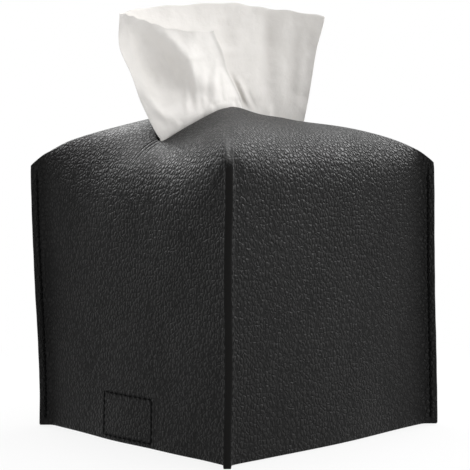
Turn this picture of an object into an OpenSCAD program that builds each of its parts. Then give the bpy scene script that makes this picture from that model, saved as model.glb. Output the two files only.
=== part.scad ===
// Soft leather tissue box cover with four pinched and stitched corner fins,
// standing over a carton of tissues that a strap under it holds in.
// Origin at the centre of the foot of the walls, Z up, lengths in millimetres.
// Front is -Y: its wall carries the stitched rectangle at its foot.

/* [Carton] */
// Width and depth of the tissue carton that the cover is made for
carton_w = 108; // [95:1:120]
// Height of the tissue carton
carton_h = 115; // [100:1:130]
// Room between the carton and the cover's lining on each side
carton_room = 7.7; // [5:0.1:12]
// Thickness of the carton's board
board_t = 0.8; // [0.6:0.1:1.2]
// Distance of the carton's opening from its front and back edges
mouth_margin = 10; // [8:0.5:14]
// Width of the opening in the carton's top
mouth_w = 40; // [34:1:46]
// Room above the stack of tissues, where the next tissue feeds to the slit
feed_room = 21.4; // [12:0.1:50]

/* [Cover] */
// Height by which the stitched corner fins pass the carton's top
seam_rise = 3.7; // [0:0.1:10]
// Thickness of the leather
leather_t = 1.3; // [1:0.1:1.6]
// Thickness of the fabric lining
lining_t = 0.4; // [0.3:0.05:0.6]
// Layer of glue between the leather and the lining
glue_t = 0.1; // [0.08:0.01:0.15]
// How far each fin stands out of its corner, along the diagonal
fin_w = 4.7; // [4:0.1:6]
// Radius with which a panel turns out into a fin
fin_root_r = 4; // [3:0.5:6]
// Outward belly of the front and back walls at their foot
front_belly = 2; // [0:0.1:3]
// Outward belly of the left and right walls at their foot
side_belly = 0.8; // [0:0.1:3]

/* [Dome] */
// Depth below the fins' ends where the front and back panels begin to bend inwards
front_bend_drop = 26.5; // [18:0.5:38]
// Depth below the fins' ends where the left and right panels begin to bend inwards
side_bend_drop = 11.5; // [6:0.5:23]
// Rise of the panels beside a fin above the fin's end
root_rise = 3.5; // [2:0.1:5]
// How far in from the corner the steep start of a ridge reaches
ridge_reach = 5.3; // [4:0.1:8]
// Rise over run of the dome beside the slot
side_slope = 0.2; // [0.12:0.01:0.28]
// Rise over run of the dome at the slot's ends
front_slope = 0.77; // [0.5:0.01:0.9]
// Tightness of the bends: 1 is a plain parabola
bend_tightness = 1.35; // [1:0.05:1.8]

/* [Slot] */
// Length of the slot, front to back
slot_len = 92; // [80:1:98]
// Width of the slot at its middle
slot_w = 34; // [28:1:40]
// Height of the slot's two ends above the fins' ends
slot_end_rise = 10.5; // [8:0.5:14]
// Height of the slot's long lips above its two ends
slot_lip_rise = 13.6; // [10:0.1:18]
// Extra lift of the lip towards the front right corner, where the tissue pushes it up
lip_lift = 2.6; // [0:0.1:4]

/* [Sewing] */
// Distance between neighbouring stitches
stitch_pitch = 3.6; // [3:0.1:5]
// Visible length of one stitch
stitch_len = 2.7; // [2:0.1:2.9]
// Width of the sewing thread
thread_w = 0.6; // [0.4:0.05:0.8]
// Height of the thread above the leather
thread_h = 0.3; // [0.2:0.05:0.5]
// Distance of the seam from the fin's edge
seam_inset = 3; // [2:0.1:3.5]
// Thickness of the smooth coating on the fins' cut edges
coat_t = 0.3; // [0.2:0.05:0.5]

/* [Strap] */
// Width of the strap under the carton
strap_w = 36; // [28:1:40]
// How far the strap lies to the left of the middle of the front wall
strap_left = 2.1; // [0:0.1:4]
// Thickness of the strap
strap_t = 1.2; // [1:0.1:1.6]
// How far the long strap reaches past the middle of the cover
strap_reach = 33.4; // [26:0.1:40]
// How far the short tab runs past the pads that close the strap
tab_past = 0.9; // [0.5:0.1:6]
// Height up to which the strap's ends are sewn to the walls
anchor_h = 23; // [18:1:28]
// Length of the hook and loop pads
pad_len = 20; // [14:1:22]
// Thickness of the hook pad and of the loop pad
pad_t = 0.9; // [0.6:0.1:1.2]
// Distance of the stitched rectangle from the sides and top of the strap's sewn end
box_inset = 1.6; // [1.2:0.1:3]

/* [Tissue] */
// Thickness of the gathered tissue
tissue_t = 0.8; // [0.6:0.1:1]
// Height of the tissue's highest point above the slot's long lips
tissue_show = 53.4; // [38:0.1:62]
// Spread of the tissue to the left of the slot's middle, seen from the front right corner
tissue_left = 54; // [48:1:64]

/* [Hidden] */
$fn = 32;

// Clearances
pose_gap = 0.3;
thread_gap = 0.05;
overrun = 1;

// Heights of the pieces under the carton
under_gap = 0.3;
strap_z = under_gap + strap_t / 2;
hook_z = under_gap + strap_t;
loop_z = hook_z + pad_t;
tab_z = loop_z + pad_t + strap_t / 2;
carton_z = tab_z + strap_t / 2 + under_gap;

// Heights of the cover, which follow the carton's top
seam_h = carton_z + carton_h + seam_rise;
front_bend_z = seam_h - front_bend_drop;
side_bend_z = seam_h - side_bend_drop;
slot_end_z = seam_h + slot_end_rise;
slot_lip_z = slot_end_z + slot_lip_rise;
tissue_top_z = slot_lip_z + tissue_show;

// Plan of the cover: a square round the carton with a fin on each corner
wall_depth = leather_t + glue_t + lining_t;
half_w = carton_w / 2 + carton_room + wall_depth;
fin_t = 2 * (leather_t + lining_t);
diag = 1 / sqrt(2);
// Place along a panel, from its middle, where its edge starts to turn out into the fin
panel_end = half_w - fin_t * diag - fin_root_r * (sqrt(2) - 1);
// Radius of the corner without its fin
corner_r = half_w - panel_end;

// Slot: an ellipse seen from above, its angle counted from +X
slot_corner = atan(slot_w / slot_len);
slot_step = 0.6;
panel_stations = 11;
wall_shares = [0, 0.12, 0.35, 0.65, 1];
dome_steps = 9;

// Half of the slot's turn that belongs to panel k: 0 right, 1 back, 2 left, 3 front
function half_turn(k) = k % 2 == 0 ? slot_corner : 90 - slot_corner;
function bend_z(k) = k % 2 == 0 ? side_bend_z : front_bend_z;
function belly(k) = k % 2 == 0 ? side_belly : front_belly;
// A place given along and outwards from panel k, turned to its side
function turned(k, along, out) = [out * cos(90 * k) - along * sin(90 * k), out * sin(90 * k) + along * cos(90 * k)];

// One station of the outline: panel, share along it, foot place, slot angle, start height, reach of its bend
function station(k, share, foot, angle, start_z, reach) = [k, share, foot, angle, start_z, reach];
function panel_station(k, share) = station(k, share, turned(k, share * panel_end, half_w),
    90 * k + share * (half_turn(k) - 5 * slot_step),
    bend_z(k) + (seam_h + root_rise - bend_z(k)) * pow(abs(share), 4),
    ridge_reach * pow(abs(share), 12));
function panel_run(k) = [for (i = [1 : panel_stations])
    panel_station(k, sin(90 * (2 * i / (panel_stations + 1) - 1)))];
function corner_angle(k, place) = 90 * k + half_turn(k) + place * slot_step;
function root_station(k, foot, place) = station(k, 1, foot, corner_angle(k, place), seam_h + root_rise, ridge_reach);
function tip_station(k, foot, place) = station(k, 1, foot, corner_angle(k, place), seam_h,
    ridge_reach + fin_w);

// A fin point, given by its distance out along the diagonal and to one side of it
function fin_point(k, out, side) = turned(k, half_w + (out - side) * diag, half_w + (out + side) * diag);
// Point of the fin's root bend on panel k, turned by an angle from the panel
function root_bend(k, angle) = turned(k, panel_end + fin_root_r * sin(angle),
    half_w + fin_root_r * (1 - cos(angle)));
// The same bend on the far side of the diagonal
function root_bend_far(k, angle) = turned(k, half_w + fin_root_r * (1 - cos(angle)),
    panel_end + fin_root_r * sin(angle));
function fin_run(k) = [
    root_station(k, root_bend(k, 0), -4),
    root_station(k, root_bend(k, 22.5), -3),
    root_station(k, root_bend(k, 45), -2),
    tip_station(k, fin_point(k, fin_w, fin_t / 2), -1),
    tip_station(k, fin_point(k, fin_w, -fin_t / 2), 1),
    root_station(k, root_bend_far(k, 45), 2),
    root_station(k, root_bend_far(k, 22.5), 3),
    root_station(k, root_bend_far(k, 0), 4)];
// The corner without its fin, a quarter round
function round_point(k, angle) = turned(k, panel_end + corner_r * sin(angle),
    panel_end + corner_r * cos(angle));
function round_run(k) = [for (i = [0 : 4]) root_station(k, round_point(k, 22.5 * i), 2 * i - 4)];
fin_outline = [for (k = [0 : 3]) each concat(panel_run(k), fin_run(k))];
round_outline = [for (k = [0 : 3]) each concat(panel_run(k), round_run(k))];
// The inner station that each place of a fin run joins
inner_shares = [0, 1, 2, 2, 2, 2, 3, 4];
fin_count = len(inner_shares);
function inner_station(i) = let (k = floor(i / (panel_stations + fin_count)), j = i % (panel_stations + fin_count))
    k * (panel_stations + 5) + (j < panel_stations ? j : panel_stations + inner_shares[j - panel_stations]);

// Height and place of the slot's rim at an angle
function rim_place(angle) = [slot_w / 2 * cos(angle), slot_len / 2 * sin(angle)];
function angle_from_lift(angle) = abs((angle + slot_corner + 540) % 360 - 180);
function rim_z(angle) = slot_lip_z - (slot_lip_z - slot_end_z) * pow(abs(sin(angle)), 4)
    + lip_lift * exp(-pow(angle_from_lift(angle) / 15, 2));
function rim_slope(angle) = side_slope + (front_slope - side_slope) * pow(abs(sin(angle)), 4);

// A bend from a over corner b to c, at share t of it
function bend(t, a, b, c) = ((1 - t) * (1 - t) * a + 2 * bend_tightness * t * (1 - t) * b + t * t * c)
    / ((1 - t) * (1 - t) + 2 * bend_tightness * t * (1 - t) + t * t);
// Belly of a wall at a share along it and a height
function belly_out(k, share, z, start_z) = belly(k) * pow(1 - share * share, 2) * pow(1 - z / start_z, 2);
function wall_point(st, z) = let (out = belly_out(st[0], st[1], z, st[4]), foot = st[2] + turned(st[0], 0, out))
    [foot[0], foot[1], z];
function dome_point(st, t) = let (
        rim = rim_place(st[3]),
        run = norm(rim - st[2]),
        top_z = rim_z(st[3]),
        mid_z = top_z - rim_slope(st[3]) * (run - st[5]),
        in = bend(t, 0, st[5], run) / run,
        place = st[2] + in * (rim - st[2]))
    [place[0], place[1], bend(t, st[4], mid_z, top_z)];
// Rings of points from the foot to the slot
function skin_rings(outline, foot_z) = concat(
    [for (share = wall_shares) [for (st = outline) wall_point(st, foot_z + (st[4] - foot_z) * share)]],
    [for (j = [1 : dome_steps]) [for (st = outline) dome_point(st, j / dome_steps)]]);

function unit(v) = v / norm(v);
// Outward directions of a surface, level at the foot
function directions(rings) = let (n = len(rings[0]), top = len(rings) - 1)
    [for (j = [0 : top]) [for (i = [0 : n - 1])
        let (along = rings[j][(i + 1) % n] - rings[j][(i + n - 1) % n],
            up = rings[min(j + 1, top)][i] - rings[max(j - 1, 0)][i],
            out = cross(along, up))
        unit(j == 0 ? [out[0], out[1], 0] : out)]];
// The surface a depth below another one
function sunk(rings, outs, depth) = [for (j = [0 : len(rings) - 1]) [for (i = [0 : len(rings[0]) - 1])
    rings[j][i] - depth * outs[j][i]]];

// Solid between an outer and an inner surface with the same rings
module shell(outer, inner, joined) {
    n = len(outer[0]);
    m = len(inner[0]);
    top = len(outer) - 1;
    start = n * len(outer);
    outer_faces = [for (j = [0 : top - 1]) for (i = [0 : n - 1])
        let (a = j * n + i, b = j * n + (i + 1) % n)
        each [[a, a + n, b + n], [a, b + n, b]]];
    inner_faces = [for (j = [0 : top - 1]) for (i = [0 : m - 1])
        let (a = start + j * m + i, b = start + j * m + (i + 1) % m)
        each [[a, b + m, a + m], [a, b, b + m]]];
    foot_faces = [for (i = [0 : n - 1])
        let (a = i, b = (i + 1) % n, c = start + joined[b], d = start + joined[a])
        each c == d ? [[a, b, d]] : [[a, b, c], [a, c, d]]];
    rim_faces = [for (i = [0 : n - 1])
        let (a = top * n + i, b = top * n + (i + 1) % n,
            c = start + top * m + joined[b - top * n], d = start + top * m + joined[i])
        each c == d ? [[a, d, b]] : [[a, d, c], [a, c, b]]];
    polyhedron([each [for (ring = outer) each ring], each [for (ring = inner) each ring]],
        concat(outer_faces, inner_faces, foot_faces, rim_faces), convexity = 10);
}

fin_rings = skin_rings(fin_outline, 0);
round_rings = skin_rings(round_outline, 0);
round_outs = directions(round_rings);
round_count = len(round_outline);
lining_foot = 1;
lining_rings = skin_rings(round_outline, lining_foot);
lining_outs = directions(lining_rings);

module leather_skin() {
    color([0.06, 0.06, 0.06])
        shell(fin_rings, sunk(round_rings, round_outs, leather_t),
            [for (i = [0 : len(fin_outline) - 1]) inner_station(i)]);
}

module fabric_lining() {
    color([0.12, 0.12, 0.13])
        shell(sunk(lining_rings, lining_outs, leather_t + glue_t),
            sunk(lining_rings, lining_outs, leather_t + glue_t + lining_t), [for (i = [0 : round_count - 1]) i]);
}

// Places a piece of a fin: X out along the diagonal from the fin's root, Y across it, corner k counted as the panels
module at_fin(k) {
    rotate([0, 0, 90 * k + 45])
        translate([half_w / diag, 0, 0])
            children();
}

seam_foot = 2.5;
seam_stitches = floor((seam_h - 2 * seam_foot) / stitch_pitch);
module seam(k) {
    color([0.03, 0.03, 0.03])
        at_fin(k)
            for (i = [0 : seam_stitches - 1], side = [-1, 1])
                translate([fin_w - seam_inset, side * (fin_t + thread_h) / 2,
                    seam_foot + (i + 1 / 2) * stitch_pitch])
                    cube([thread_w, thread_h, stitch_len], center = true);
}

coat_foot = 0.4;
coat_end = 1;
module edge_coat(k) {
    color([0.02, 0.02, 0.02])
        at_fin(k)
            translate([fin_w, -fin_t / 2, coat_foot])
                cube([coat_t, fin_t, seam_h - coat_foot - coat_end]);
}

// A point of the front wall's surface at a depth, at a place across it and a height
function front_point(x, z, depth) = let (share = x / panel_end,
        start_z = bend_z(3) + (seam_h + root_rise - bend_z(3)) * pow(share, 4))
    [x, -half_w - belly_out(3, share, z, start_z) + depth, z];
// Play between the lining and what is sewn flat to it
sewn_play = 0.15;

// Place of a strap's fold at a height, clear of the wall it hangs beside
function fold_place(z) = -front_point(strap_w / 2 + strap_left, z + strap_t / 2, wall_depth)[1] - sewn_play - pose_gap
    - strap_t / 2;
front_fold = fold_place(strap_z);
back_fold = fold_place(tab_z);

// The two pads meet where the straps overlap
pad_end = 3;
pad_side = 2;
pad_w = strap_w - 2 * pad_side;
pad_y = strap_reach - pad_end - pad_len;
strap_len = front_fold + strap_reach;
tab_len = back_fold - pad_y + tab_past;

// Strap end sewn flat to the inside of the front wall, following its belly
sewn_shares = [-1, -0.5, 0, 0.5, 1];
module sewn_end(foot_z) {
    heights = [for (share = [0, 0.33, 0.67, 1]) foot_z + share * (anchor_h - foot_z)];
    n = len(sewn_shares);
    near = wall_depth + sewn_play;
    outer = [for (z = heights) [for (s = sewn_shares) front_point(s * strap_w / 2 - strap_left, z, near)]];
    inner = [for (z = heights) [for (s = sewn_shares) front_point(s * strap_w / 2 - strap_left, z, near + strap_t)]];
    slab(outer, inner);
}

// Closed slab between two grids of points; the first grid faces -Y
module slab(outer, inner) {
    n = len(outer[0]);
    m = len(outer);
    start = n * m;
    faces_out = [for (j = [0 : m - 2]) for (i = [0 : n - 2]) let (a = j * n + i)
        each [[a, a + n, a + n + 1], [a, a + n + 1, a + 1]]];
    faces_in = [for (f = faces_out) [start + f[0], start + f[2], start + f[1]]];
    ring = concat([for (i = [0 : n - 2]) i], [for (j = [0 : m - 2]) j * n + n - 1],
        [for (i = [n - 1 : -1 : 1]) (m - 1) * n + i], [for (j = [m - 1 : -1 : 1]) j * n]);
    faces_edge = [for (i = [0 : len(ring) - 1]) let (a = ring[i], b = ring[(i + 1) % len(ring)])
        each [[a, b, start + b], [a, start + b, start + a]]];
    polyhedron([each [for (row = outer) each row], each [for (row = inner) each row]],
        concat(faces_out, faces_in, faces_edge), convexity = 6);
}

sewn_gap = 0.3;
module strap_sewn_end() {
    color([0.10, 0.10, 0.10])
        sewn_end(strap_z + strap_t / 2 + sewn_gap);
}

module tab_sewn_end() {
    color([0.10, 0.10, 0.10])
        mirror([0, 1, 0])
            sewn_end(tab_z + strap_t / 2 + sewn_gap);
}

// A strap lying flat under the carton from its fold, with a round fold and a round-cornered free end
strap_corner_r = 4;
module flat_strap(length, fold, z) {
    translate([-strap_left, -fold, z])
        rotate([0, 90, 0])
            cylinder(r = strap_t / 2, h = strap_w, center = true);
    translate([-strap_w / 2 - strap_left, -fold, z - strap_t / 2])
        cube([strap_w, length - strap_corner_r, strap_t]);
    translate([strap_corner_r - strap_w / 2 - strap_left, length - fold - strap_corner_r - overrun, z - strap_t / 2])
        cube([strap_w - 2 * strap_corner_r, strap_corner_r + overrun, strap_t]);
    for (side = [-1, 1])
        translate([side * (strap_w / 2 - strap_corner_r) - strap_left, length - fold - strap_corner_r, z - strap_t / 2])
            cylinder(r = strap_corner_r, h = strap_t);
}

module long_strap() {
    color([0.10, 0.10, 0.10])
        flat_strap(strap_len, front_fold, strap_z);
}

module short_tab() {
    color([0.10, 0.10, 0.10])
        mirror([0, 1, 0])
            flat_strap(tab_len, back_fold, tab_z);
}

module pad(z) {
    translate([-pad_w / 2 - strap_left, pad_y, z])
        cube([pad_w, pad_len, pad_t]);
}

module hook_pad() {
    color([0.05, 0.05, 0.05])
        pad(hook_z);
}

module loop_pad() {
    color([0.15, 0.15, 0.15])
        pad(loop_z);
}

// Stitches round a pad on the strap's far side, from its middle outwards along X and Y
pad_seam = 1.5;
pad_stitch_len = 2.2;
pad_stitch_pitch = 3;
module pad_stitches(z) {
    half_x = pad_w / 2 - pad_seam;
    half_y = pad_len / 2 - pad_seam;
    count_x = floor(half_x / pad_stitch_pitch);
    count_y = floor(half_y / pad_stitch_pitch);
    translate([-strap_left, pad_y + pad_len / 2, z]) {
        for (i = [-count_x : count_x], side = [-1, 1])
            translate([i * pad_stitch_pitch, side * half_y, 0])
                cube([pad_stitch_len, thread_w, thread_gap], center = true);
        for (i = [-count_y + 1 : count_y - 1], side = [-1, 1])
            translate([side * half_x, i * pad_stitch_pitch, 0])
                cube([thread_w, pad_stitch_len, thread_gap], center = true);
    }
}

module hook_pad_stitches() {
    color([0.03, 0.03, 0.03])
        pad_stitches(under_gap - thread_gap / 2);
}

module loop_pad_stitches() {
    color([0.03, 0.03, 0.03])
        pad_stitches(tab_z + strap_t / 2 + thread_gap / 2);
}

// Stitched rectangle on the outside of the front wall, through the strap's sewn end
box_pitch = 3.2;
box_thread_len = 2.5;
module wall_stitch(x, z, length, upright) {
    here = front_point(x, z, 0);
    above = front_point(x, z + thread_w, 0);
    beside = front_point(x + thread_w, z, 0);
    translate([x, here[1] - thread_h / 2 - thread_gap, z])
        rotate([atan((here[1] - above[1]) / thread_w), 0, atan((beside[1] - here[1]) / thread_w)])
            cube(upright ? [thread_w, thread_h, length] : [length, thread_h, thread_w], center = true);
}

module box_stitch(foot_z) {
    low = foot_z + thread_w / 2;
    box_h = anchor_h - box_inset - low;
    box_w = strap_w - 2 * box_inset;
    across = floor(box_w / box_pitch);
    up = floor(box_h / box_pitch);
    step_x = box_w / across;
    step_z = box_h / up;
    for (i = [0 : across - 1], line = [0, 1])
        wall_stitch((i + 1 / 2) * step_x - box_w / 2 - strap_left, low + line * box_h, box_thread_len, false);
    for (i = [0 : up - 1], side = [-1, 1])
        wall_stitch(side * box_w / 2 - strap_left, low + (i + 1 / 2) * step_z, box_thread_len, true);
}

module front_box_stitch() {
    color([0.03, 0.03, 0.03])
        box_stitch(strap_z + strap_t / 2 + sewn_gap);
}

module back_box_stitch() {
    color([0.03, 0.03, 0.03])
        mirror([0, 1, 0])
            box_stitch(tab_z + strap_t / 2 + sewn_gap);
}

// Carton of board with a long round-ended opening in its top
mouth_len = carton_w - 2 * mouth_margin;
module long_hole(length, width, height) {
    for (side = [-1, 1])
        translate([0, side * (length - width) / 2, 0])
            cylinder(r = width / 2, h = height);
    translate([-width / 2, -(length - width) / 2, 0])
        cube([width, length - width, height]);
}

module tissue_carton() {
    inner_w = carton_w - 2 * board_t;
    color([0.80, 0.78, 0.74])
        translate([0, 0, carton_z])
            difference() {
                translate([-carton_w / 2, -carton_w / 2, 0])
                    cube([carton_w, carton_w, carton_h]);
                translate([-inner_w / 2, -inner_w / 2, board_t])
                    cube([inner_w, inner_w, carton_h - 2 * board_t]);
                translate([0, 0, carton_h - board_t - overrun])
                    long_hole(mouth_len, mouth_w, board_t + 2 * overrun);
            }
}

// Film glued under the carton's opening, with the slit that the tissue comes through
film_t = 0.2;
film_lap = 6;
slit_w = 5;
slit_margin = 4;
slit_len = mouth_len - 2 * slit_margin;
film_z = carton_z + carton_h - board_t - film_t;
module slit_film() {
    color([0.85, 0.88, 0.90, 0.5])
        translate([0, 0, film_z])
            difference() {
                long_hole(mouth_len + film_lap, mouth_w + film_lap, film_t);
                translate([0, 0, -overrun])
                    long_hole(slit_len, slit_w, film_t + 2 * overrun);
            }
}

stack_room = 1;
stack_z = carton_z + board_t;
stack_w = carton_w - 2 * board_t - 2 * stack_room;
stack_h = carton_h - 2 * board_t - feed_room;
module tissue_stack() {
    color([0.95, 0.95, 0.94])
        translate([-stack_w / 2, -stack_w / 2, stack_z])
            cube([stack_w, stack_w, stack_h]);
}

// The pulled tissue: a leaf doubled over at the slot's front end. Its level sections go from one that
// fits the film's slit, through one that fills the slot, to the spread one at its top edge. Each path
// runs from the near layer's free edge, round the fold at the front, to the back layer's far edge.
slit_x_shares = [0.5, 0.52, 0.5, 0, -0.5, -0.52, -0.5, -0.5, -0.5];
slit_y_shares = [-0.1, -0.5, -0.85, -1, -0.85, -0.5, 0, 0.5, 1];
slot_x_shares = [0.45, 0.4, 0.25, 0, -0.18, -0.2, -0.12, 0, 0.05];
slot_y_shares = [-0.25, -0.55, -0.82, -0.945, -0.8, -0.45, 0, 0.45, 0.87];
// The top's places to the right of the line of sight on the front right corner, and towards it
top_right_shares = [-0.11, -0.39, -0.71, -1, -0.84, -0.39, 0.07, 0.46, 0.81];
top_near_shares = [0.36, 0.42, 0.40, 0.28, 0.04, -0.12, -0.22, -0.20, -0.09];
// How far the top edge drops below its highest point
top_drop_shares = [1, 0.85, 0.6, 0.65, 0.15, 0.1, 0, 0.1, 0.6];
tissue_drop = 13;
sight_right = [diag, diag];
sight_near = [diag, -diag];
slit_play = 6;
tissue_slit_half = slit_len / 2 - slit_play;
stack_gap = 0.3;
tissue_foot_z = stack_z + stack_h + stack_gap;
tissue_columns = 30;
tissue_rows = 15;
// Shares of the rows up to just above the slit and up to the slot, and how soon the leaf spreads above it
slit_share = 2 / 15;
slot_share = 6 / 15;
spread_power = 1.7;
leaf_slit_z = film_z + film_t + pose_gap;

// Smooth curve through a list of values, u from 0 to 1
function spline(list, u) = let (last = len(list) - 1, x = u * last, i = min(floor(x), last - 1), f = x - i,
        a = list[max(i - 1, 0)], b = list[i], c = list[i + 1], d = list[min(i + 2, last)])
    b + f * (c - a + f * (2 * a - 5 * b + 4 * c - d + f * (3 * b - 3 * c + d - a))) / 2;
function blend(a, b, t) = a + (b - a) * t;
function ease(t) = t * t * (3 - 2 * t);
function slit_place(u) = [slit_w / 2 * spline(slit_x_shares, u), tissue_slit_half * spline(slit_y_shares, u)];
function slot_place(u) = [slot_w / 2 * spline(slot_x_shares, u), slot_len / 2 * spline(slot_y_shares, u)];
function top_place(u) = tissue_left * (spline(top_right_shares, u) * sight_right
    + spline(top_near_shares, u) * sight_near);
function top_edge_z(u) = tissue_top_z - tissue_drop * spline(top_drop_shares, u);
// The leaf starts to spread where it has passed the slot's rim
function mouth_z(u) = rim_z(asin(spline(slot_y_shares, u))) + tissue_t;
// Point of the leaf at share u across it and v up it: it spreads quickly above the slot, then slowly
function tissue_point(u, v) = let (
        below = v / slit_share,
        inside = (v - slit_share) / (slot_share - slit_share),
        above = (v - slot_share) / (1 - slot_share),
        place = v < slit_share ? slit_place(u)
            : v < slot_share ? blend(slit_place(u), slot_place(u), ease(inside))
            : blend(slot_place(u), top_place(u), 1 - pow(1 - above, spread_power)))
    [place[0], place[1], v < slit_share ? blend(tissue_foot_z, leaf_slit_z, below)
        : v < slot_share ? blend(leaf_slit_z, mouth_z(u), inside)
        : blend(mouth_z(u), top_edge_z(u), above)];
module pulled_tissue() {
    grid = [for (j = [0 : tissue_rows]) [for (i = [0 : tissue_columns])
        tissue_point(i / tissue_columns, j / tissue_rows)]];
    outs = [for (j = [0 : tissue_rows]) [for (i = [0 : tissue_columns])
        let (along = grid[j][min(i + 1, tissue_columns)] - grid[j][max(i - 1, 0)],
            up = grid[min(j + 1, tissue_rows)][i] - grid[max(j - 1, 0)][i],
            out = cross(along, up))
        unit([out[0], out[1], j == 0 || j == tissue_rows ? 0 : out[2]])]];
    color([0.95, 0.95, 0.93])
        slab(sunk(grid, outs, -tissue_t / 2), sunk(grid, outs, tissue_t / 2));
}

leather_skin();
fabric_lining();
seam(3);  // seam_front_right
seam(0);  // seam_back_right
seam(1);  // seam_back_left
seam(2);  // seam_front_left
edge_coat(3);  // edge_coat_front_right
edge_coat(0);  // edge_coat_back_right
edge_coat(1);  // edge_coat_back_left
edge_coat(2);  // edge_coat_front_left
strap_sewn_end();
long_strap();
hook_pad();
hook_pad_stitches();
front_box_stitch();
tab_sewn_end();
short_tab();
loop_pad();
loop_pad_stitches();
back_box_stitch();
tissue_carton();
slit_film();
tissue_stack();
pulled_tissue();
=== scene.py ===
# Soft leather tissue box cover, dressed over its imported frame. Its shapes are worked out in millimetres.
import bpy
import math
import numpy as np
from functools import partial
from mathutils import Matrix


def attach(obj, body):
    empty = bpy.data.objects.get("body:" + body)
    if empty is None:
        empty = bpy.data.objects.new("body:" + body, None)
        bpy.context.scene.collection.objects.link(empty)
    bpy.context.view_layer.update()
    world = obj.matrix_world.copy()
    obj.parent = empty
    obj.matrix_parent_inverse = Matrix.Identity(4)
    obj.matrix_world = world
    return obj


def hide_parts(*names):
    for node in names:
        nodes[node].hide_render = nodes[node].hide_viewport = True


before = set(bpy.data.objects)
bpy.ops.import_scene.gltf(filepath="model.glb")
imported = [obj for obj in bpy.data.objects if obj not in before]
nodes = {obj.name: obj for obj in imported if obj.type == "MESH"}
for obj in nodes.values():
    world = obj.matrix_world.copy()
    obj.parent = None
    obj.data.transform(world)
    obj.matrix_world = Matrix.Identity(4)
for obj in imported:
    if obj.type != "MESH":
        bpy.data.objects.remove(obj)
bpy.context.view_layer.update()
metres = 0.001
root2 = math.sqrt(2)
join = np.concatenate
print("frame loaded:", len(nodes), "nodes")

# The cover's shape. Pairs are for the side panels, then for front and back.
cover = {
    "halfWidth": 63.5, "seamTop": 123.5, "leather": 1.3, "glue": 0.1, "lining": 0.4, "liningFoot": 1.0,
    "finWidth": 4.7, "finThick": 3.4, "seamInset": 3.0, "rootRadius": 4.0, "rootRise": 3.5, "ridgeReach": 5.3,
    "bend": (112.0, 97.0), "belly": (0.8, 2.0), "slope": (0.2, 0.77), "tightness": 1.35,
    "slotLength": 92.0, "slotWidth": 34.0, "slotEnd": 134.0, "lip": 147.6, "lipLift": 2.6, "liftTurn": 15,
    "grooveWidth": 0.42, "grooveDepth": 0.6, "slotStep": 0.6, "footRound": (0.22, 0.06),
    "rimRows": 3, "rimRise": 0.25, "rimSwell": 0.06,
    "ridges": ((5.0, 0, 4.0), (12.0, 4, 10.0)),     # reach, first row and rows of the two softenings
    "panelColumns": 58, "wallRows": 40, "domeRows": 44, "blurReach": 24,
}
slotCorner = math.degrees(math.atan(cover["slotWidth"] / cover["slotLength"]))
halfTurn = (slotCorner, 90 - slotCorner)     # half of the turn round the slot that a panel takes up
panelEnd = cover["halfWidth"] - cover["finThick"] / root2 - cover["rootRadius"] * (root2 - 1)
cornerRadius = cover["halfWidth"] - panelEnd
seamOut = cover["finWidth"] - cover["seamInset"]
rootTop = cover["seamTop"] + cover["rootRise"]

# How the sewn cover departs from its pattern
loose = {
    "leftFin": -1.9, "leftFinBow": 0.6, "rightFinFoot": 0.6, "rightFin": -0.9, "frontFin": 0.8,
    "frontFinFoot": -1.1, "slant": 0.707, "leftShoulder": 1.7, "leftDip": 0.9, "rightDip": 2.2,
    "crestOut": 0.35, "crestUp": 1.2, "frontWave": 0.45, "frontRipple": 0.25, "sideWave": 0.3,
    "sideFullness": 1.2,
}


# A place along and outwards from side k, turned k quarter turns: 0 right, 1 back, 2 left, 3 front.
def turned(k, along, out):
    a = np.radians(90.0 * k)
    return np.stack([out * np.cos(a) - along * np.sin(a), out * np.sin(a) + along * np.cos(a)], -1)


# A place on corner k's fin: out along the diagonal from where the walls would meet, side across it.
def finSpot(k, out, side):
    return turned(k, cover["halfWidth"] + (out - side) / root2, cover["halfWidth"] + (out + side) / root2)


# Three squares less two cubes of t, with t from 0 to 1.
def ease(t):
    t = np.clip(t, 0, 1)
    return t * t * (3 - 2 * t)


# A smooth step from 0 to 1 as x goes from low to low plus length.
def ramp(x, low, length):
    return ease((x - low) / length)


# A bell: e to the power of minus the square of x over width.
def bell(x, width):
    return np.exp(-(x / width) ** 2)


# Directions divided by their own length.
def unit(v):
    return v / np.linalg.norm(v, axis=-1, keepdims=True)


# Height where panel k starts to bend inwards, up by a 4th power from its middle to the fin's root.
def panelStart(k, share):
    low = cover["bend"][k % 2]
    return low + (rootTop - low) * np.abs(share) ** 4


# How far panel k swells out at its foot: the square of one less the share's square.
def panelBelly(k, share):
    return cover["belly"][k % 2] * (1 - share ** 2) ** 2


# Stations round the outline: place at the foot, angle round the slot, height where the bend starts, reach of
# the corner's ridge, belly, depth of the seam's groove, and side.
def stations(k, foot, angle, start, reach, belly=0.0, groove=0.0):
    numbers = {"angle": angle, "start": start, "reach": reach, "belly": belly, "groove": groove, "side": k}
    return {"foot": foot, **{key: value + np.zeros(len(foot)) for key, value in numbers.items()}}


# Panel k at shares -1 to 1 of its half width. The ridge's reach falls from the corners by a 12th power.
def panelRun(k, shares):
    return stations(k, turned(k, shares * panelEnd, cover["halfWidth"]),
                    90 * k + shares * (halfTurn[k % 2] - 5 * cover["slotStep"]), panelStart(k, shares),
                    cover["ridgeReach"] * np.abs(shares) ** 12, panelBelly(k, shares))


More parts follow.
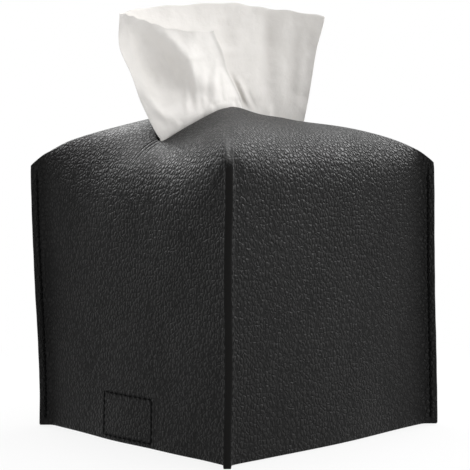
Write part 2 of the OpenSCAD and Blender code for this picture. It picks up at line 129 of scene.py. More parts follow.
# The fin on corner k: the bend at its root, the flank with the seam's groove and half of the rounded edge, and
# then all of it mirrored in the corner's diagonal.
def finRun(k):
    bends = np.radians(np.linspace(0, 45, 7))
    root, none = cover["rootRadius"], np.zeros(len(bends))
    arc = turned(k, panelEnd + root * np.sin(bends), cover["halfWidth"] + root * (1 - np.cos(bends)))
    outs = np.array([0.5, 0.9, 1.2, 1.45, 1.7, 1.95, 2.2, 2.6, 3.2, 3.8, 4.3, 4.55, 4.66, 4.7, 4.7])
    rounding = np.array([0.0] * 11 + [0.05, 0.16, 0.4, 1.0])
    near = join([arc, finSpot(k, outs, cover["finThick"] / 2 - rounding)])
    place = join([np.linspace(-4, -2, len(bends)), outs / cover["finWidth"] - 2])
    share = join([none, outs / cover["finWidth"]])
    groove = join([none, bell(outs - seamOut, cover["grooveWidth"]) * (rounding == 0)])
    share, groove = [join([half, half[::-1]]) for half in (share, groove)]
    diagonal = turned(k, 1 / root2, 1 / root2)
    far = 2 * (near @ diagonal)[:, None] * diagonal - near
    return stations(k, join([near, far[::-1]]),
                    90 * k + halfTurn[k % 2] + cover["slotStep"] * join([place, -place[::-1]]),
                    cover["seamTop"] + cover["rootRise"] * (1 - share),
                    cover["ridgeReach"] + cover["finWidth"] * share, groove=groove)


# The corner inside the fin: a quarter round with as many stations as the fin has.
def roundRun(k, count):
    turn = np.radians(np.linspace(0, 90, count))
    foot = turned(k, panelEnd + cornerRadius * np.sin(turn), panelEnd + cornerRadius * np.cos(turn))
    return stations(k, foot, 90 * k + halfTurn[k % 2] + cover["slotStep"] * np.linspace(-4, 4, count), rootTop,
                    cover["ridgeReach"])


# Several runs of stations in one.
def joinRuns(runs):
    return {key: join([run[key] for run in runs]) for key in runs[0]}


# The lip's height: lowest at the slot's two ends, lifted a little where the tissue pushes it up.
def rimHeight(angle):
    fromLift = np.abs((angle + slotCorner + 540) % 360 - 180)
    dip = (cover["lip"] - cover["slotEnd"]) * np.abs(np.sin(np.radians(angle))) ** 4
    return cover["lip"] - dip + cover["lipLift"] * bell(fromLift, cover["liftTurn"])


# Rational parabola from a over the corner b to c.
def bend(t, a, b, c):
    w = 2 * cover["tightness"] * t * (1 - t)
    return ((1 - t) ** 2 * a + w * b + t * t * c) / ((1 - t) ** 2 + w + t * t)


# Wall rings: the outline plus the belly, which fades with a square towards the bend.
def wallPoints(st, z):
    out = st["belly"] * np.clip(1 - z / st["start"], 0, 1) ** 2
    away = turned(st["side"], 0.0, np.ones(len(st["side"])))
    return join([st["foot"] + out[..., None] * away, z[..., None]], -1)


# Dome rings: straight in plan from wall to slot, bending over the corner of wall and dome.
def domePoints(st, t):
    t = t[:, None]
    a = np.radians(st["angle"])
    rim = np.stack([cover["slotWidth"] / 2 * np.cos(a), cover["slotLength"] / 2 * np.sin(a)], -1)
    run = np.linalg.norm(rim - st["foot"], axis=1)
    top = rimHeight(st["angle"])
    sideSlope, frontSlope = cover["slope"]
    slope = sideSlope + (frontSlope - sideSlope) * np.abs(np.sin(a)) ** 4
    middle = top - slope * (run - st["reach"])
    inwards = bend(t, 0, st["reach"], run) / run
    flat = st["foot"] + inwards[..., None] * (rim - st["foot"])
    return join([flat, bend(t, st["start"], middle, top)[..., None]], -1)


# Rings from the foot to the lip: the wall's, then the dome's.
def rings(st, wallShares, domeShares):
    return join([wallPoints(st, st["start"] * wallShares[:, None]), domePoints(st, domeShares)])


# Unit normals of a ring grid that closes round, level at the foot.
def outward(grid):
    n = np.cross(np.roll(grid, -1, 1) - np.roll(grid, 1, 1), np.gradient(grid, axis=0))
    n[0, :, 2] = 0
    return unit(n)


# The sewn cover's unevenness, by steps, bells and sines of the place: fins that lean, a lip that dips beside
# the tissue, a thin crest over the front fin, a fuller foot of the right wall, and waves in the walls.
def relax(points):
    p = np.array(points, float)
    x, y, z = p[..., 0].copy(), p[..., 1].copy(), p[..., 2].copy()
    right, near = (x + y) / root2, (x - y) / root2
    leftFin = (loose["leftFin"] * ramp(z, 5, 100) * (1 - 0.5 * ramp(z, 128, 14))
               + loose["leftFinBow"] * bell(z - 50, 35))
    rightFin = loose["rightFinFoot"] * (1 - ramp(z, 0, 60)) + loose["rightFin"] * ramp(z, 20, 70)
    frontFin = (loose["frontFin"] * ramp(z, 40, 80) * (1 - ramp(z, 126, 14))
                + loose["frontFinFoot"] * (1 - ramp(z, 0, 70)))
    lean = leftFin * ramp(-right, 58, 34) + rightFin * ramp(right, 66, 24) + frontFin * ramp(near, 74, 14)
    p[..., :2] += (lean * loose["slant"])[..., None]
    p[..., 2] += ramp(z, 112, 26) * (
        loose["leftShoulder"] * ramp(-right, 30, 10) * (1 - 0.7 * ramp(-right, 76, 12))
        - loose["leftDip"] * bell(right + 18, 9) * ramp(near, 5, 15) - loose["rightDip"] * bell(right - 26, 20))
    crest = bell(right + 1.6, 1.6) * ramp(near, 52, 10) * ramp(z, 122.8, 1.6) * (1 - ramp(z, 130, 11))
    p += crest[..., None] * np.array([loose["crestOut"], -loose["crestOut"], loose["crestUp"]])
    onFront = ramp(-y, 50, 10) * (1 - ramp(z, 96, 30))
    onRight = ramp(x, 50, 10) * (1 - ramp(z, 110, 24))
    p[..., 1] += onFront * (loose["frontWave"] * np.sin(x / 13 + z / 31 + 0.6) * np.sin(z / 21 + 0.5)
                            + loose["frontRipple"] * np.sin(x / 7.1 - z / 17))
    fullness = (1 - (y / panelEnd) ** 2).clip(0) ** 2 * (1 - z / cover["bend"][0]).clip(0) ** 2
    p[..., 0] += onRight * (loose["sideWave"] * np.sin(y / 15 + 1.1) * np.sin(z / 26 + 1.2)
                            + loose["sideFullness"] * fullness)
    return p


# Quads of a grid of points, row by row.
def gridFaces(rows, columns, wrapRows=False, wrapColumns=False):
    r = np.arange(rows if wrapRows else rows - 1)
    c = np.arange(columns if wrapColumns else columns - 1)
    r, c = [a.ravel() for a in np.meshgrid(r, c, indexing="ij")]
    r2, c2 = (r + 1) % rows, (c + 1) % columns
    return np.stack([r * columns + c, r * columns + c2, r2 * columns + c2, r2 * columns + c], 1)


# A closed tube from rings of points: two triangles for each quad, and a fan to the middle of each end ring.
def closedTube(grid):
    rows, around = grid.shape[:2]
    quads = gridFaces(rows, around, False, True)
    c = np.arange(around)
    after, last, tip = (c + 1) % around, (rows - 1) * around, np.full(around, rows * around)
    faces = join([quads[:, [0, 1, 2]], quads[:, [0, 2, 3]], np.stack([after, c, tip], 1),
                  np.stack([c + last, after + last, tip + 1], 1)])
    return join([grid.reshape(-1, 3), grid[:1].mean(1), grid[-1:].mean(1)]), faces


# A closed slab: two grids of points, face and back, and a rim of quads between their edges.
def closedSlab(face, back):
    quads, count = gridFaces(*face.shape[:2]), face[..., 0].size
    index = np.arange(count).reshape(face.shape[:2])
    ring = join([index[0, :-1], index[:-1, -1], index[-1, :0:-1], index[:0:-1, 0]])
    after = np.roll(ring, -1)
    rim = np.stack([after, ring, ring + count, after + count], 1)
    points = join([face.reshape(-1, 3), back.reshape(-1, 3)])
    return points, join([quads, quads[:, ::-1] + count, rim])


# An object in the scene.
def newObject(name, data):
    thing = bpy.data.objects.new(name, data)
    bpy.context.scene.collection.objects.link(thing)
    return thing


# A mesh piece from points in millimetres and faces; marks are numbers kept at its points for the materials.
def makePiece(name, points, faces, material, body, slot, stands, uv=None, sharp=None, marks=None):
    points = np.asarray(points, float).reshape(-1, 3) * metres
    mesh = bpy.data.meshes.new(name)
    mesh.vertices.add(len(points))
    mesh.vertices.foreach_set("co", points.astype(np.float32).ravel())
    mesh.loops.add(faces.size)
    mesh.loops.foreach_set("vertex_index", faces.astype(np.int32).ravel())
    mesh.polygons.add(len(faces))
    mesh.polygons.foreach_set("loop_start", np.arange(len(faces), dtype=np.int32) * faces.shape[1])
    mesh.polygons.foreach_set("use_smooth", np.full(len(faces), True))
    mesh.update(calc_edges=True)
    if uv is not None:
        layer = mesh.uv_layers.new(name="cut")
        layer.data.foreach_set("uv", uv.reshape(-1, 2)[faces.ravel()].astype(np.float32).ravel())
    for key, values in (marks or {}).items():
        attribute = mesh.attributes.new(key, "FLOAT", "POINT")
        attribute.data.foreach_set("value", values.astype(np.float32).ravel())
    if sharp:
        mesh.set_sharp_from_angle(angle=math.radians(sharp))
    mesh.validate()
    piece = newObject(name, mesh)
    mesh.materials.append(material)
    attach(piece, body)
    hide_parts(stands)
    return piece


# Sets a socket to a value, or links another node's output to it.
def feed(tree, socket, value):
    if isinstance(value, bpy.types.NodeSocket):
        tree.links.new(value, socket)
    else:
        socket.default_value = value


# Adds a node with its inputs by name or number, each a value or an output, and its settings by name.
def addNode(tree, kind, inputs=None, **settings):
    node = tree.nodes.new("ShaderNode" + kind)
    for key, value in settings.items():
        setattr(node, key, value)
    for key, value in (inputs or {}).items():
        feed(tree, node.inputs[key], value)
    return node


# A Math node's result.
def calculate(tree, operation, *values):
    return addNode(tree, "Math", dict(enumerate(values)), operation=operation).outputs[0]


# The largest of several outputs.
def highest(tree, values):
    top = values[0]
    for value in values[1:]:
        top = calculate(tree, "MAXIMUM", top, value)
    return top


# A smooth step from outLow to outHigh as value goes from low to high.
def stepBetween(tree, value, low, high, outLow=0.0, outHigh=1.0):
    inputs = {"Value": value, "From Min": low, "From Max": high, "To Min": outLow, "To Max": outHigh}
    return addNode(tree, "MapRange", inputs, interpolation_type="SMOOTHSTEP").outputs["Result"]


# Noise with scale cells to the metre.
def noise(tree, place, scale, detail=2.0, output="Fac"):
    inputs = {"Vector": place, "Scale": scale, "Detail": detail}
    return addNode(tree, "TexNoise", inputs).outputs[output]


# A place stretched along its axes.
def scaled(tree, place, scale):
    return addNode(tree, "Mapping", {"Vector": place, "Scale": scale}).outputs["Vector"]


# A Vector Math node's result.
def vectorNode(tree, operation, inputs):
    return addNode(tree, "VectorMath", inputs, operation=operation).outputs["Vector"]


# Colour a going over to colour b as factor goes from 0 to 1.
def mixColors(tree, factor, a, b):
    a, b = [(*color, 1) if isinstance(color, tuple) else color for color in (a, b)]
    inputs = {"Factor": factor, "A": a, "B": b}
    return addNode(tree, "Mix", inputs, data_type="RGBA").outputs["Result"]


# An empty shader group: a place and named numbers go in, named numbers come out.
def newGroup(name, numbers, results):
    group = bpy.data.node_groups.new(name, "ShaderNodeTree")
    group.interface.new_socket(name="Place", in_out="INPUT", socket_type="NodeSocketVector")
    for label, default in numbers.items():
        socket = group.interface.new_socket(name=label, in_out="INPUT", socket_type="NodeSocketFloat")
        socket.default_value = default
    for label in results:
        group.interface.new_socket(name=label, in_out="OUTPUT", socket_type="NodeSocketFloat")
    return group, group.nodes.new("NodeGroupInput").outputs, group.nodes.new("NodeGroupOutput").inputs


# A group's outputs, with its numbers given by name.
def useGroup(tree, group, place, **numbers):
    inputs = {"Place": place, **{key.replace("_", " "): value for key, value in numbers.items()}}
    return addNode(tree, "Group", inputs, node_tree=group).outputs


# Pebbled grain: one less half the distance to each cell's middle, less the creases between the cells, plus
# fine pores. The cells' places are bent by noise.
def pebbleGroup():
    g, into, out = newGroup("pebbleGrain", {"Cells per metre": 700.0, "Crease width": 0.22},
                            ["Height", "Crease", "Patch"])
    calc = partial(calculate, g)
    place, cells = into["Place"], into["Cells per metre"]
    warp = noise(g, place, calc("MULTIPLY", cells, 0.6), 1.5, "Color")
    shift = vectorNode(g, "SUBTRACT", {0: warp, 1: (0.5, 0.5, 0.5)})
    shift = vectorNode(g, "SCALE", {0: shift, "Scale": calc("DIVIDE", 0.8, cells)})
    pattern = {"Vector": vectorNode(g, "ADD", {0: place, 1: shift}), "Scale": cells, "Randomness": 0.85}
    edge = addNode(g, "TexVoronoi", pattern, feature="DISTANCE_TO_EDGE").outputs["Distance"]
    crease = stepBetween(g, edge, 0.0, into["Crease width"], 1.0, 0.0)
    dome = addNode(g, "TexVoronoi", {**pattern, "Smoothness": 0.5}, feature="SMOOTH_F1").outputs["Distance"]
    pores = noise(g, place, calc("MULTIPLY", cells, 4.0))
    cell = calc("SUBTRACT", 1.0, calc("MULTIPLY", dome, 0.5))
    height = calc("SUBTRACT", cell, calc("MULTIPLY", crease, 0.72))
    feed(g, out["Height"], calc("ADD", height, calc("MULTIPLY", pores, 0.06)))
    feed(g, out["Crease"], crease)
    feed(g, out["Patch"], noise(g, place, calc("MULTIPLY", cells, 0.06), 3.0))
    return g


# Plain weave: the product of crossed sine waves, for threads over and under in turn.
def weaveGroup():
    g, into, out = newGroup("plainWeave", {"Threads per metre": 2500.0}, ["Height", "ShadedGap"])
    calc = partial(calculate, g)
    x, y, z = addNode(g, "SeparateXYZ", {0: into["Place"]}).outputs
    rate = calc("MULTIPLY", into["Threads per metre"], math.pi)
    ways = calc("ADD", x, y), z, calc("SUBTRACT", x, y)
    a, b, c = [calc("SINE", calc("MULTIPLY", way, rate)) for way in ways]
    over = calc("ABSOLUTE", calc("MULTIPLY", a, calc("ADD", b, c)))
    feed(g, out["Height"], over)
    feed(g, out["ShadedGap"], stepBetween(g, over, 0.0, 0.25, 1.0, 0.0))
    return g


# One thin crease high on the dome: near the line in plan from its start in its direction, fading along it.
def creaseGroup():
    g, into, out = newGroup("thinCrease", {"Start X": 0.0, "Start Y": 0.0, "Along X": 1.0, "Along Y": 0.0,
                                           "Length": 0.01, "Width": 0.0005}, ["Groove"])
    calc = partial(calculate, g)
    x, y, z = addNode(g, "SeparateXYZ", {0: into["Place"]}).outputs
    dx, dy = calc("SUBTRACT", x, into["Start X"]), calc("SUBTRACT", y, into["Start Y"])
    along = calc("ADD", calc("MULTIPLY", dx, into["Along X"]), calc("MULTIPLY", dy, into["Along Y"]))
    across = calc("SUBTRACT", calc("MULTIPLY", dx, into["Along Y"]), calc("MULTIPLY", dy, into["Along X"]))
    near = stepBetween(g, calc("ABSOLUTE", across), 0.0, into["Width"], 1.0, 0.0)
    share = calc("DIVIDE", along, into["Length"])
    on = calc("MULTIPLY", stepBetween(g, share, -0.1, 0.1), stepBetween(g, share, 0.3, 1.0, 1.0, 0.0))
    feed(g, out["Groove"], calc("MULTIPLY", calc("MULTIPLY", near, on), stepBetween(g, z, 0.100, 0.112)))
    return g


# The sunk line of a stitched rectangle: where the larger of the distances past its sides in X and Z is near 0.
def boxLineGroup():
    g, into, out = newGroup("stitchedLine", {"Middle": 0.0, "Half width": 0.016, "Low": 0.002, "High": 0.021,
                                             "Line width": 0.001, "Wall side": -1.0}, ["Groove"])
    calc = partial(calculate, g)
    x, y, z = addNode(g, "SeparateXYZ", {0: into["Place"]}).outputs
    dx = calc("SUBTRACT", calc("ABSOLUTE", calc("SUBTRACT", x, into["Middle"])), into["Half width"])
    dz = calc("MAXIMUM", calc("SUBTRACT", into["Low"], z), calc("SUBTRACT", z, into["High"]))
    line = calc("ABSOLUTE", calc("MAXIMUM", dx, dz))
    near = stepBetween(g, line, 0.0, into["Line width"], 1.0, 0.0)
    wall = stepBetween(g, calc("MULTIPLY", y, into["Wall side"]), 0.060, 0.061)
    feed(g, out["Groove"], calc("MULTIPLY", near, wall))
    return g


pebbleGrain = pebbleGroup()
plainWeave = weaveGroup()
thinCrease = creaseGroup()
stitchedLine = boxLineGroup()


# A material with plain values, and the object's own coordinates for its pattern.
def newMaterial(name, color, roughness, specular=0.5, **sockets):
    material = bpy.data.materials.new(name)
    material.use_nodes = True
    tree = material.node_tree
    shader = tree.nodes["Principled BSDF"]
    sockets.update(Base_Color=(*color, 1), Roughness=roughness, Specular_IOR_Level=specular)
    for key, value in sockets.items():
        shader.inputs[key.replace("_", " ")].default_value = value
    return material, tree, shader, addNode(tree, "TexCoord").outputs["Object"]


# Tilts the surface by a height, distance metres for 1, over an earlier bump if there is one.
def addBump(tree, shader, height, distance, strength=1.0, before=None):
    inputs = {"Strength": strength, "Distance": distance, "Height": height}
    if before is not None:
        inputs["Normal"] = before
    bump = addNode(tree, "Bump", inputs).outputs["Normal"]
    feed(tree, shader.inputs["Normal"], bump)
    return bump


# A base colour between a and b.
def paint(tree, shader, factor, a, b):
    feed(tree, shader.inputs["Base Color"], mixColors(tree, factor, a, b))


strap = {"width": 36.0, "left": 2.1, "thick": 1.2, "frontFold": 62.1708, "backFold": 62.0771, "strapZ": 0.9,
         "tabZ": 3.9, "reach": 33.4, "tabEnd": 9.5, "anchor": 23.0, "corner": 4.0, "sewnGap": 0.3}
# the rectangle sewn through wall and strap, a little in from the strap's edges
boxStitch = {"inset": 1.6, "thread": 0.6, "pitch": 3.2, "visible": 2.8, "top": 21.4, "sink": 0.05,
             "sewnFoot": {"front": 1.8, "back": 4.8}}

leatherLook = {
    # crown is the pebbles' own colour; crease is painted shade in the creases between them, and seam is painted
    # shade in the sewn grooves, the stitched line and the slot's creases
    "crown": (0.0066, 0.0065, 0.0063), "crease": (0.0025, 0.0025, 0.0025), "seam": (0.002, 0.002, 0.002),
    "specular": 0.135, "rough": 0.43, "smoother": 0.04, "rougher": 0.05, "creaseRough": 0.2, "sewnRough": 0.35,
    "cells": 540.0, "creaseWidth": 0.3, "squeeze": (1.04, 1.04, 0.85), "grainDepth": 0.00043,
    # the slot's creases take part of the seam colour's painted shade as well as a bump
    "stretchedFlat": 0.75, "lineDepth": 0.0009, "slotCreaseDepth": 0.3, "slotCreaseShade": 0.8,
    # thin creases from the slot's front end in metres: start X and Y, direction X and Y, length and width
    "slotCreases": ((-0.0005, -0.0460, -0.40, -0.92, 0.016, 0.0007),
                    (-0.0022, -0.0456, -0.46, -0.89, 0.018, 0.0007),
                    (0.0014, -0.0465, -0.30, -0.95, 0.011, 0.0006)),
}


# Black leather: grain with dark creases of painted shade, flatter where it is stretched, and dull dark lines of
# painted shade along the sewn grooves, the stitched line and the slot's creases.
def leatherMaterial():
    look = leatherLook
    material, tree, shader, place = newMaterial("pebbledLeather", look["crown"], look["rough"], look["specular"],
                                                Sheen_Weight=0.05, Sheen_Roughness=0.35)
    calc = partial(calculate, tree)
    grain = useGroup(tree, pebbleGrain, scaled(tree, place, look["squeeze"]), Cells_per_metre=look["cells"],
                     Crease_width=look["creaseWidth"])
    names = ("Start_X", "Start_Y", "Along_X", "Along_Y", "Length", "Width")
    slotCreases = highest(tree, [useGroup(tree, thinCrease, place, **dict(zip(names, row)))["Groove"]
                                 for row in look["slotCreases"]])
    box = highest(tree, [
        useGroup(tree, stitchedLine, place, Middle=-strap["left"] * metres, Wall_side=side,
                 Half_width=(strap["width"] / 2 - boxStitch["inset"]) * metres, High=boxStitch["top"] * metres,
                 Low=(boxStitch["sewnFoot"][wall] + boxStitch["thread"] / 2) * metres)["Groove"]
        for wall, side in (("front", -1.0), ("back", 1.0))])
    # the grain is flatter where the leather is stretched, and painted shade darkens the sewn grooves, the stitched
    # line and the slot's creases
    stretched, groove = [addNode(tree, "Attribute", attribute_name=name).outputs["Fac"]
                         for name in ("stretch", "groove")]
    flatter = calc("SUBTRACT", 1.0, calc("MULTIPLY", stretched, look["stretchedFlat"]))
    shadedLines = highest(tree, [groove, box, calc("MULTIPLY", slotCreases, look["slotCreaseShade"])])
    color = mixColors(tree, calc("MULTIPLY", grain["Crease"], flatter), look["crown"], look["crease"])
    paint(tree, shader, shadedLines, color, look["seam"])
    rough = stepBetween(tree, grain["Patch"], 0.3, 0.7, look["rough"] - look["smoother"],
                        look["rough"] + look["rougher"])
    duller = highest(tree, [calc("MULTIPLY", grain["Crease"], look["creaseRough"]),
                            calc("MULTIPLY", shadedLines, look["sewnRough"])])
    feed(tree, shader.inputs["Roughness"], calc("ADD", rough, duller))
    first = addBump(tree, shader, calc("MULTIPLY", grain["Height"], flatter), look["grainDepth"])
    deep = highest(tree, [calc("MULTIPLY", slotCreases, look["slotCreaseDepth"]), box])
    addBump(tree, shader, calc("MULTIPLY", deep, -1.0), look["lineDepth"], 1.0, first)
    return material


# A bumped material. Its pattern gives a height and a mask, which mixes two colours or steps between two
# roughnesses.
def patterned(name, color, roughness, pattern, depth, strength=1.0, colors=None, rough=None, **sockets):
    material, tree, shader, place = newMaterial(name, color, roughness, **sockets)
    height, mask = pattern(tree, place)
    addBump(tree, shader, height, depth, strength)
    if colors:
        paint(tree, shader, mask, *colors)
    if rough:
        feed(tree, shader.inputs["Roughness"], stepBetween(tree, mask, 0.3, 0.7, *rough))
    return material


# Woven cloth: the height of the threads, and the gaps between them, where the colour is painted darker as shade.
def weave(tree, place, threads):
    woven = useGroup(tree, plainWeave, place, Threads_per_metre=threads)
    return woven["Height"], woven["ShadedGap"]


# Twisted thread: slanting bands, whose low parts are also painted darker as shade in the twist's grooves.
def twist(tree, place):
    inputs = {"Vector": place, "Scale": 700, "Distortion": 0.6}
    bands = addNode(tree, "TexWave", inputs, wave_type="BANDS", bands_direction="DIAGONAL")
    return [bands.outputs["Fac"]] * 2


# Hooks: small bumps by the distance to each cell's middle, in nearly even rows; the same mask paints shade between
# the hooks, darker than their tops.
def hooks(tree, place):
    cells = addNode(tree, "TexVoronoi", {"Vector": place, "Scale": 1100, "Randomness": 0.25})
    return [stepBetween(tree, cells.outputs["Distance"], 0.1, 0.4, 1.0, 0.0)] * 2


# Noise alone, drawn out along an axis where it is squeezed.
def specks(tree, place, scale, detail=2.0, squeeze=(1, 1, 1)):
    return [noise(tree, scaled(tree, place, squeeze), scale, detail)] * 2


# Fibres in board: noise, and a steeper step of it for the colour.
def fibres(tree, place):
    height = noise(tree, place, 420, 6)
    return height, stepBetween(tree, height, 0.35, 0.7)


# Tissue paper: fine crepe over soft clouds, in two near tones.
def paperMaterial(name, color, shade):
    material, tree, shader, place = newMaterial(name, color, 0.92, specular=0.12, Sheen_Weight=0.05)
    crepe, cloud = noise(tree, place, 1500, 5), noise(tree, place, 130, 4)
    paint(tree, shader, stepBetween(tree, cloud, 0.35, 0.65), color, shade)
    fine = addBump(tree, shader, crepe, 0.0001, 0.35)
    addBump(tree, shader, cloud, 0.0012, 0.45, fine)
    return material


leather = leatherMaterial()
# the lining's gaps between threads are painted darker, as shade
lining = patterned("liningCloth", (0.03, 0.03, 0.032), 0.9, partial(weave, threads=1400.0), 0.0001, 0.8,
                   ((0.034, 0.034, 0.037), (0.012, 0.012, 0.013)), specular=0.2, Sheen_Weight=0.15)
# the thread's colour is painted shade in the twist's grooves
thread = patterned("waxedThread", (0.004, 0.004, 0.004), 0.75, twist, 0.00008, 0.8,
                   ((0.002, 0.002, 0.002), (0.006, 0.006, 0.006)), specular=0.03)
edgePaint = patterned("edgePaint", (0.0068, 0.0066, 0.0064), 0.42,
                      partial(specks, scale=900, detail=3, squeeze=(1, 1, 0.12)), 0.00012, 0.5,
                      rough=(0.38, 0.5), specular=0.05)
# the webbing's gaps between threads are painted darker, as shade
webbing = patterned("strapWebbing", (0.02, 0.02, 0.021), 0.8, partial(weave, threads=700.0), 0.00025, 0.9,
                    ((0.024, 0.024, 0.026), (0.006, 0.006, 0.007)), specular=0.25, Sheen_Weight=0.1)
# the hook pad's colour is painted shade between the hooks, lighter on their tops
hookFace = patterned("hookPad", (0.012, 0.012, 0.013), 0.55, hooks, 0.0004, 1.0,
                     ((0.005, 0.005, 0.005), (0.02, 0.02, 0.021)), specular=0.4)
loopFace = patterned("loopPad", (0.022, 0.022, 0.024), 0.95, partial(specks, scale=2600, detail=4), 0.0005, 0.9,
                     ((0.01, 0.01, 0.011), (0.035, 0.035, 0.038)), specular=0.15, Sheen_Weight=0.4)
board = patterned("cartonBoard", (0.62, 0.60, 0.55), 0.75, fibres, 0.00008, 0.5,
                  ((0.58, 0.56, 0.51), (0.66, 0.64, 0.6)))
film = patterned("clearFilm", (0.9, 0.92, 0.94), 0.12, partial(specks, scale=90), 0.0006, 0.6,
                 rough=(0.08, 0.2), Alpha=0.32)
stackPaper = paperMaterial("stackedTissue", (0.84, 0.83, 0.81), (0.80, 0.79, 0.77))
# the pulled sheet is the stack's paper painted a little darker and warmer, as painted shade that keeps it from
# glaring under the lamps
shadedTissuePaper = paperMaterial("pulledTissueShaded", (0.81, 0.787, 0.759), (0.78, 0.758, 0.729))
print("materials made:", len(bpy.data.materials))

# Leather cover: outer surface with fins, rim, inner surface and foot, as one grid that closes both ways
panelShares = np.sin(np.pi / 2 * np.linspace(-1, 1, cover["panelColumns"] + 2)[1:-1])
finStations = len(finRun(0)["angle"])
outerRun = joinRuns([run for k in range(4) for run in (panelRun(k, panelShares), finRun(k))])
innerRun = joinRuns([run for k in range(4) for run in (panelRun(k, panelShares), roundRun(k, finStations))])
wallShares = join([[0, 0.002, 0.006], np.linspace(0.015, 1, cover["wallRows"])])
domeShares = np.linspace(0, 1, cover["domeRows"] + 1)[1:]


# The soft ridge above a fin: the rings are averaged round the corner with a bell as wide as reach, from the
# dome's row first on, and fully after length more rows.
def softRidge(grid, reach, first, length):
    offset = np.arange(-cover["blurReach"], cover["blurReach"] + 1)
    kernel = bell(offset, reach) / bell(offset, reach).sum()
    onFin = outerRun["reach"] > cover["ridgeReach"] - 0.01
    blurred = sum(w * np.roll(grid, -i, 1) for w, i in zip(kernel, offset))
    nearFin = sum(w * np.roll(onFin, -i) for w, i in zip(kernel, offset))
    soften = ramp(np.arange(len(grid)), len(wallShares) + first, length)[:, None] * ease(nearFin / 0.8)
    return grid + soften[..., None] * (blurred - grid)


# tightly at first, so that a thin crest runs up from the fin's top, then more widely
outer = rings(outerRun, wallShares, domeShares)
for row in cover["ridges"]:
    outer = softRidge(outer, *row)
outs = outward(outer)
height = outer[..., 2]
groove = outerRun["groove"] * ramp(height, 1.5, 2) * (1 - ramp(height, cover["seamTop"] - 4, 3))
outer = outer - cover["grooveDepth"] * groove[..., None] * outs
for row, depth in enumerate(cover["footRound"]):     # the cut foot is a little rounded
    outer[row] -= depth * outs[row]
innerGrid = rings(innerRun, wallShares, domeShares)
innerOuts = outward(innerGrid)


# The inside face moved in by a depth along its normals.
def sunk(depth):
    return innerGrid - depth * innerOuts


# Rows that round the lip's cut edge: half a turn about the middle of its two faces, raised a little.
def rimRows(edge, back):
    t = np.linspace(0, np.pi, cover["rimRows"] + 2)[1:-1, None, None]
    over = np.array([0.0, 0.0, cover["rimRise"]]) + (edge - outer[-3]) * cover["rimSwell"]
    return (edge + back) / 2 + (edge - back) / 2 * np.cos(t) + over * np.sin(t)


leatherBack = sunk(cover["leather"])
onDome = join([np.zeros(len(wallShares)), domeShares])[:, None]
finShare = ease(outerRun["reach"] - cover["ridgeReach"])
leatherGrid = join([outer, rimRows(outer[-1], leatherBack[-1]), leatherBack[::-2]])
marks = {"stretch": np.ones(leatherGrid.shape[:2]), "groove": np.zeros(leatherGrid.shape[:2])}
marks["stretch"][:len(outer)] = np.maximum(ramp(onDome, 0.35, 0.45), finShare * ease(onDome / 0.02))
marks["groove"][:len(outer)] = groove
makePiece("leather_cover", relax(leatherGrid), gridFaces(*leatherGrid.shape[:2], True, True), leather, "cover",
          "leather", "leather_skin", sharp=55, marks=marks)

# Cloth lining, glued to the leather's back
liningFront = sunk(cover["leather"] + cover["glue"])
liningBack = sunk(cover["leather"] + cover["glue"] + cover["lining"])
liningFront[0, :, 2] = liningBack[0, :, 2] = cover["liningFoot"]
liningGrid = join([liningFront[::2], liningBack[::-2]])
liningPiece = makePiece("cloth_lining", relax(liningGrid), gridFaces(*liningGrid.shape[:2], True, True), lining,
                        "cover", "lining", "fabric_lining", sharp=55)
print("cover made:", leatherGrid.shape[0] * leatherGrid.shape[1], "points")

# Threads: one stitch is a short tube whose ends dip into the leather
stitch = {"radius": 0.27, "lift": 0.14, "dip": 0.32, "flatness": 1.15, "around": 7, "along": 7}


# A tube along X: its middle stands lift over the surface by a square, its ends dip by a 4th power.
def stitchTube(length):
    s = np.linspace(-1, 1, stitch["along"])[:, None]
    a = np.linspace(0, 2 * np.pi, stitch["around"], endpoint=False)
    thin = stitch["radius"] * (0.55 + 0.45 * np.sqrt(np.clip(1 - s ** 4, 0, 1)))
    z = thin * np.sin(a) + stitch["lift"] * (1 - s ** 2) - stitch["dip"] * s ** 4
    return np.stack([np.broadcast_to(s * length / 2, z.shape), thin * np.cos(a) * stitch["flatness"], z], -1)


# Copies of one stitch at places, each along its direction and standing on its normal.
def sewRow(places, alongs, ups, length):
    tube, faces = closedTube(stitchTube(length))
    turn = np.stack([alongs, np.cross(ups, alongs), ups], -1)
    points = np.einsum("nij,pj->npi", turn, tube) + places[:, None]
    first = np.arange(len(places)) * len(tube)
    return points.reshape(-1, 3), (faces[None] + first[:, None, None]).reshape(-1, 3)


seam = {"foot": 2.5, "pitch": 3.6, "visible": 2.9, "sink": 0.12, "lean": 0.05}


# A corner's stitches, a column on either flank of the fin, leaning by a sine of the height.
def seamThread(k):
    count = int((cover["seamTop"] - 2 * seam["foot"]) // seam["pitch"])
    z = np.tile(seam["foot"] + (np.arange(count) + 0.5) * seam["pitch"], 2)
    side = np.repeat([1.0, -1.0], count)
    places = np.column_stack([finSpot(k, seamOut, side * (cover["finThick"] / 2 - seam["sink"])), z])
    lean = seam["lean"] * np.sin(z * 1.7 + k)
    alongs = unit(np.column_stack([lean[:, None] * turned(k, 1 / root2, 1 / root2), np.ones(len(z))]))
    ups = np.column_stack([turned(k, -side / root2, side / root2), np.zeros(len(z))])
    return sewRow(relax(places), alongs, ups, seam["visible"])


# The painted bead over both leathers' cut edges: where its flat back lies, its round front, and its ends
bead = {"back": 4.45, "backHalf": 1.1, "middle": 4.62, "bulge": 0.42, "half": 1.42,
        "footZ": [0.25, 0.32, 0.6], "footShrink": [0.55, 0.86, 0.98], "straight": (2, 119, 60),
        "topZ": [120.5, 121.6, 122.4, 122.9, 123.1], "topShrink": [0.96, 0.87, 0.72, 0.5, 0.3]}


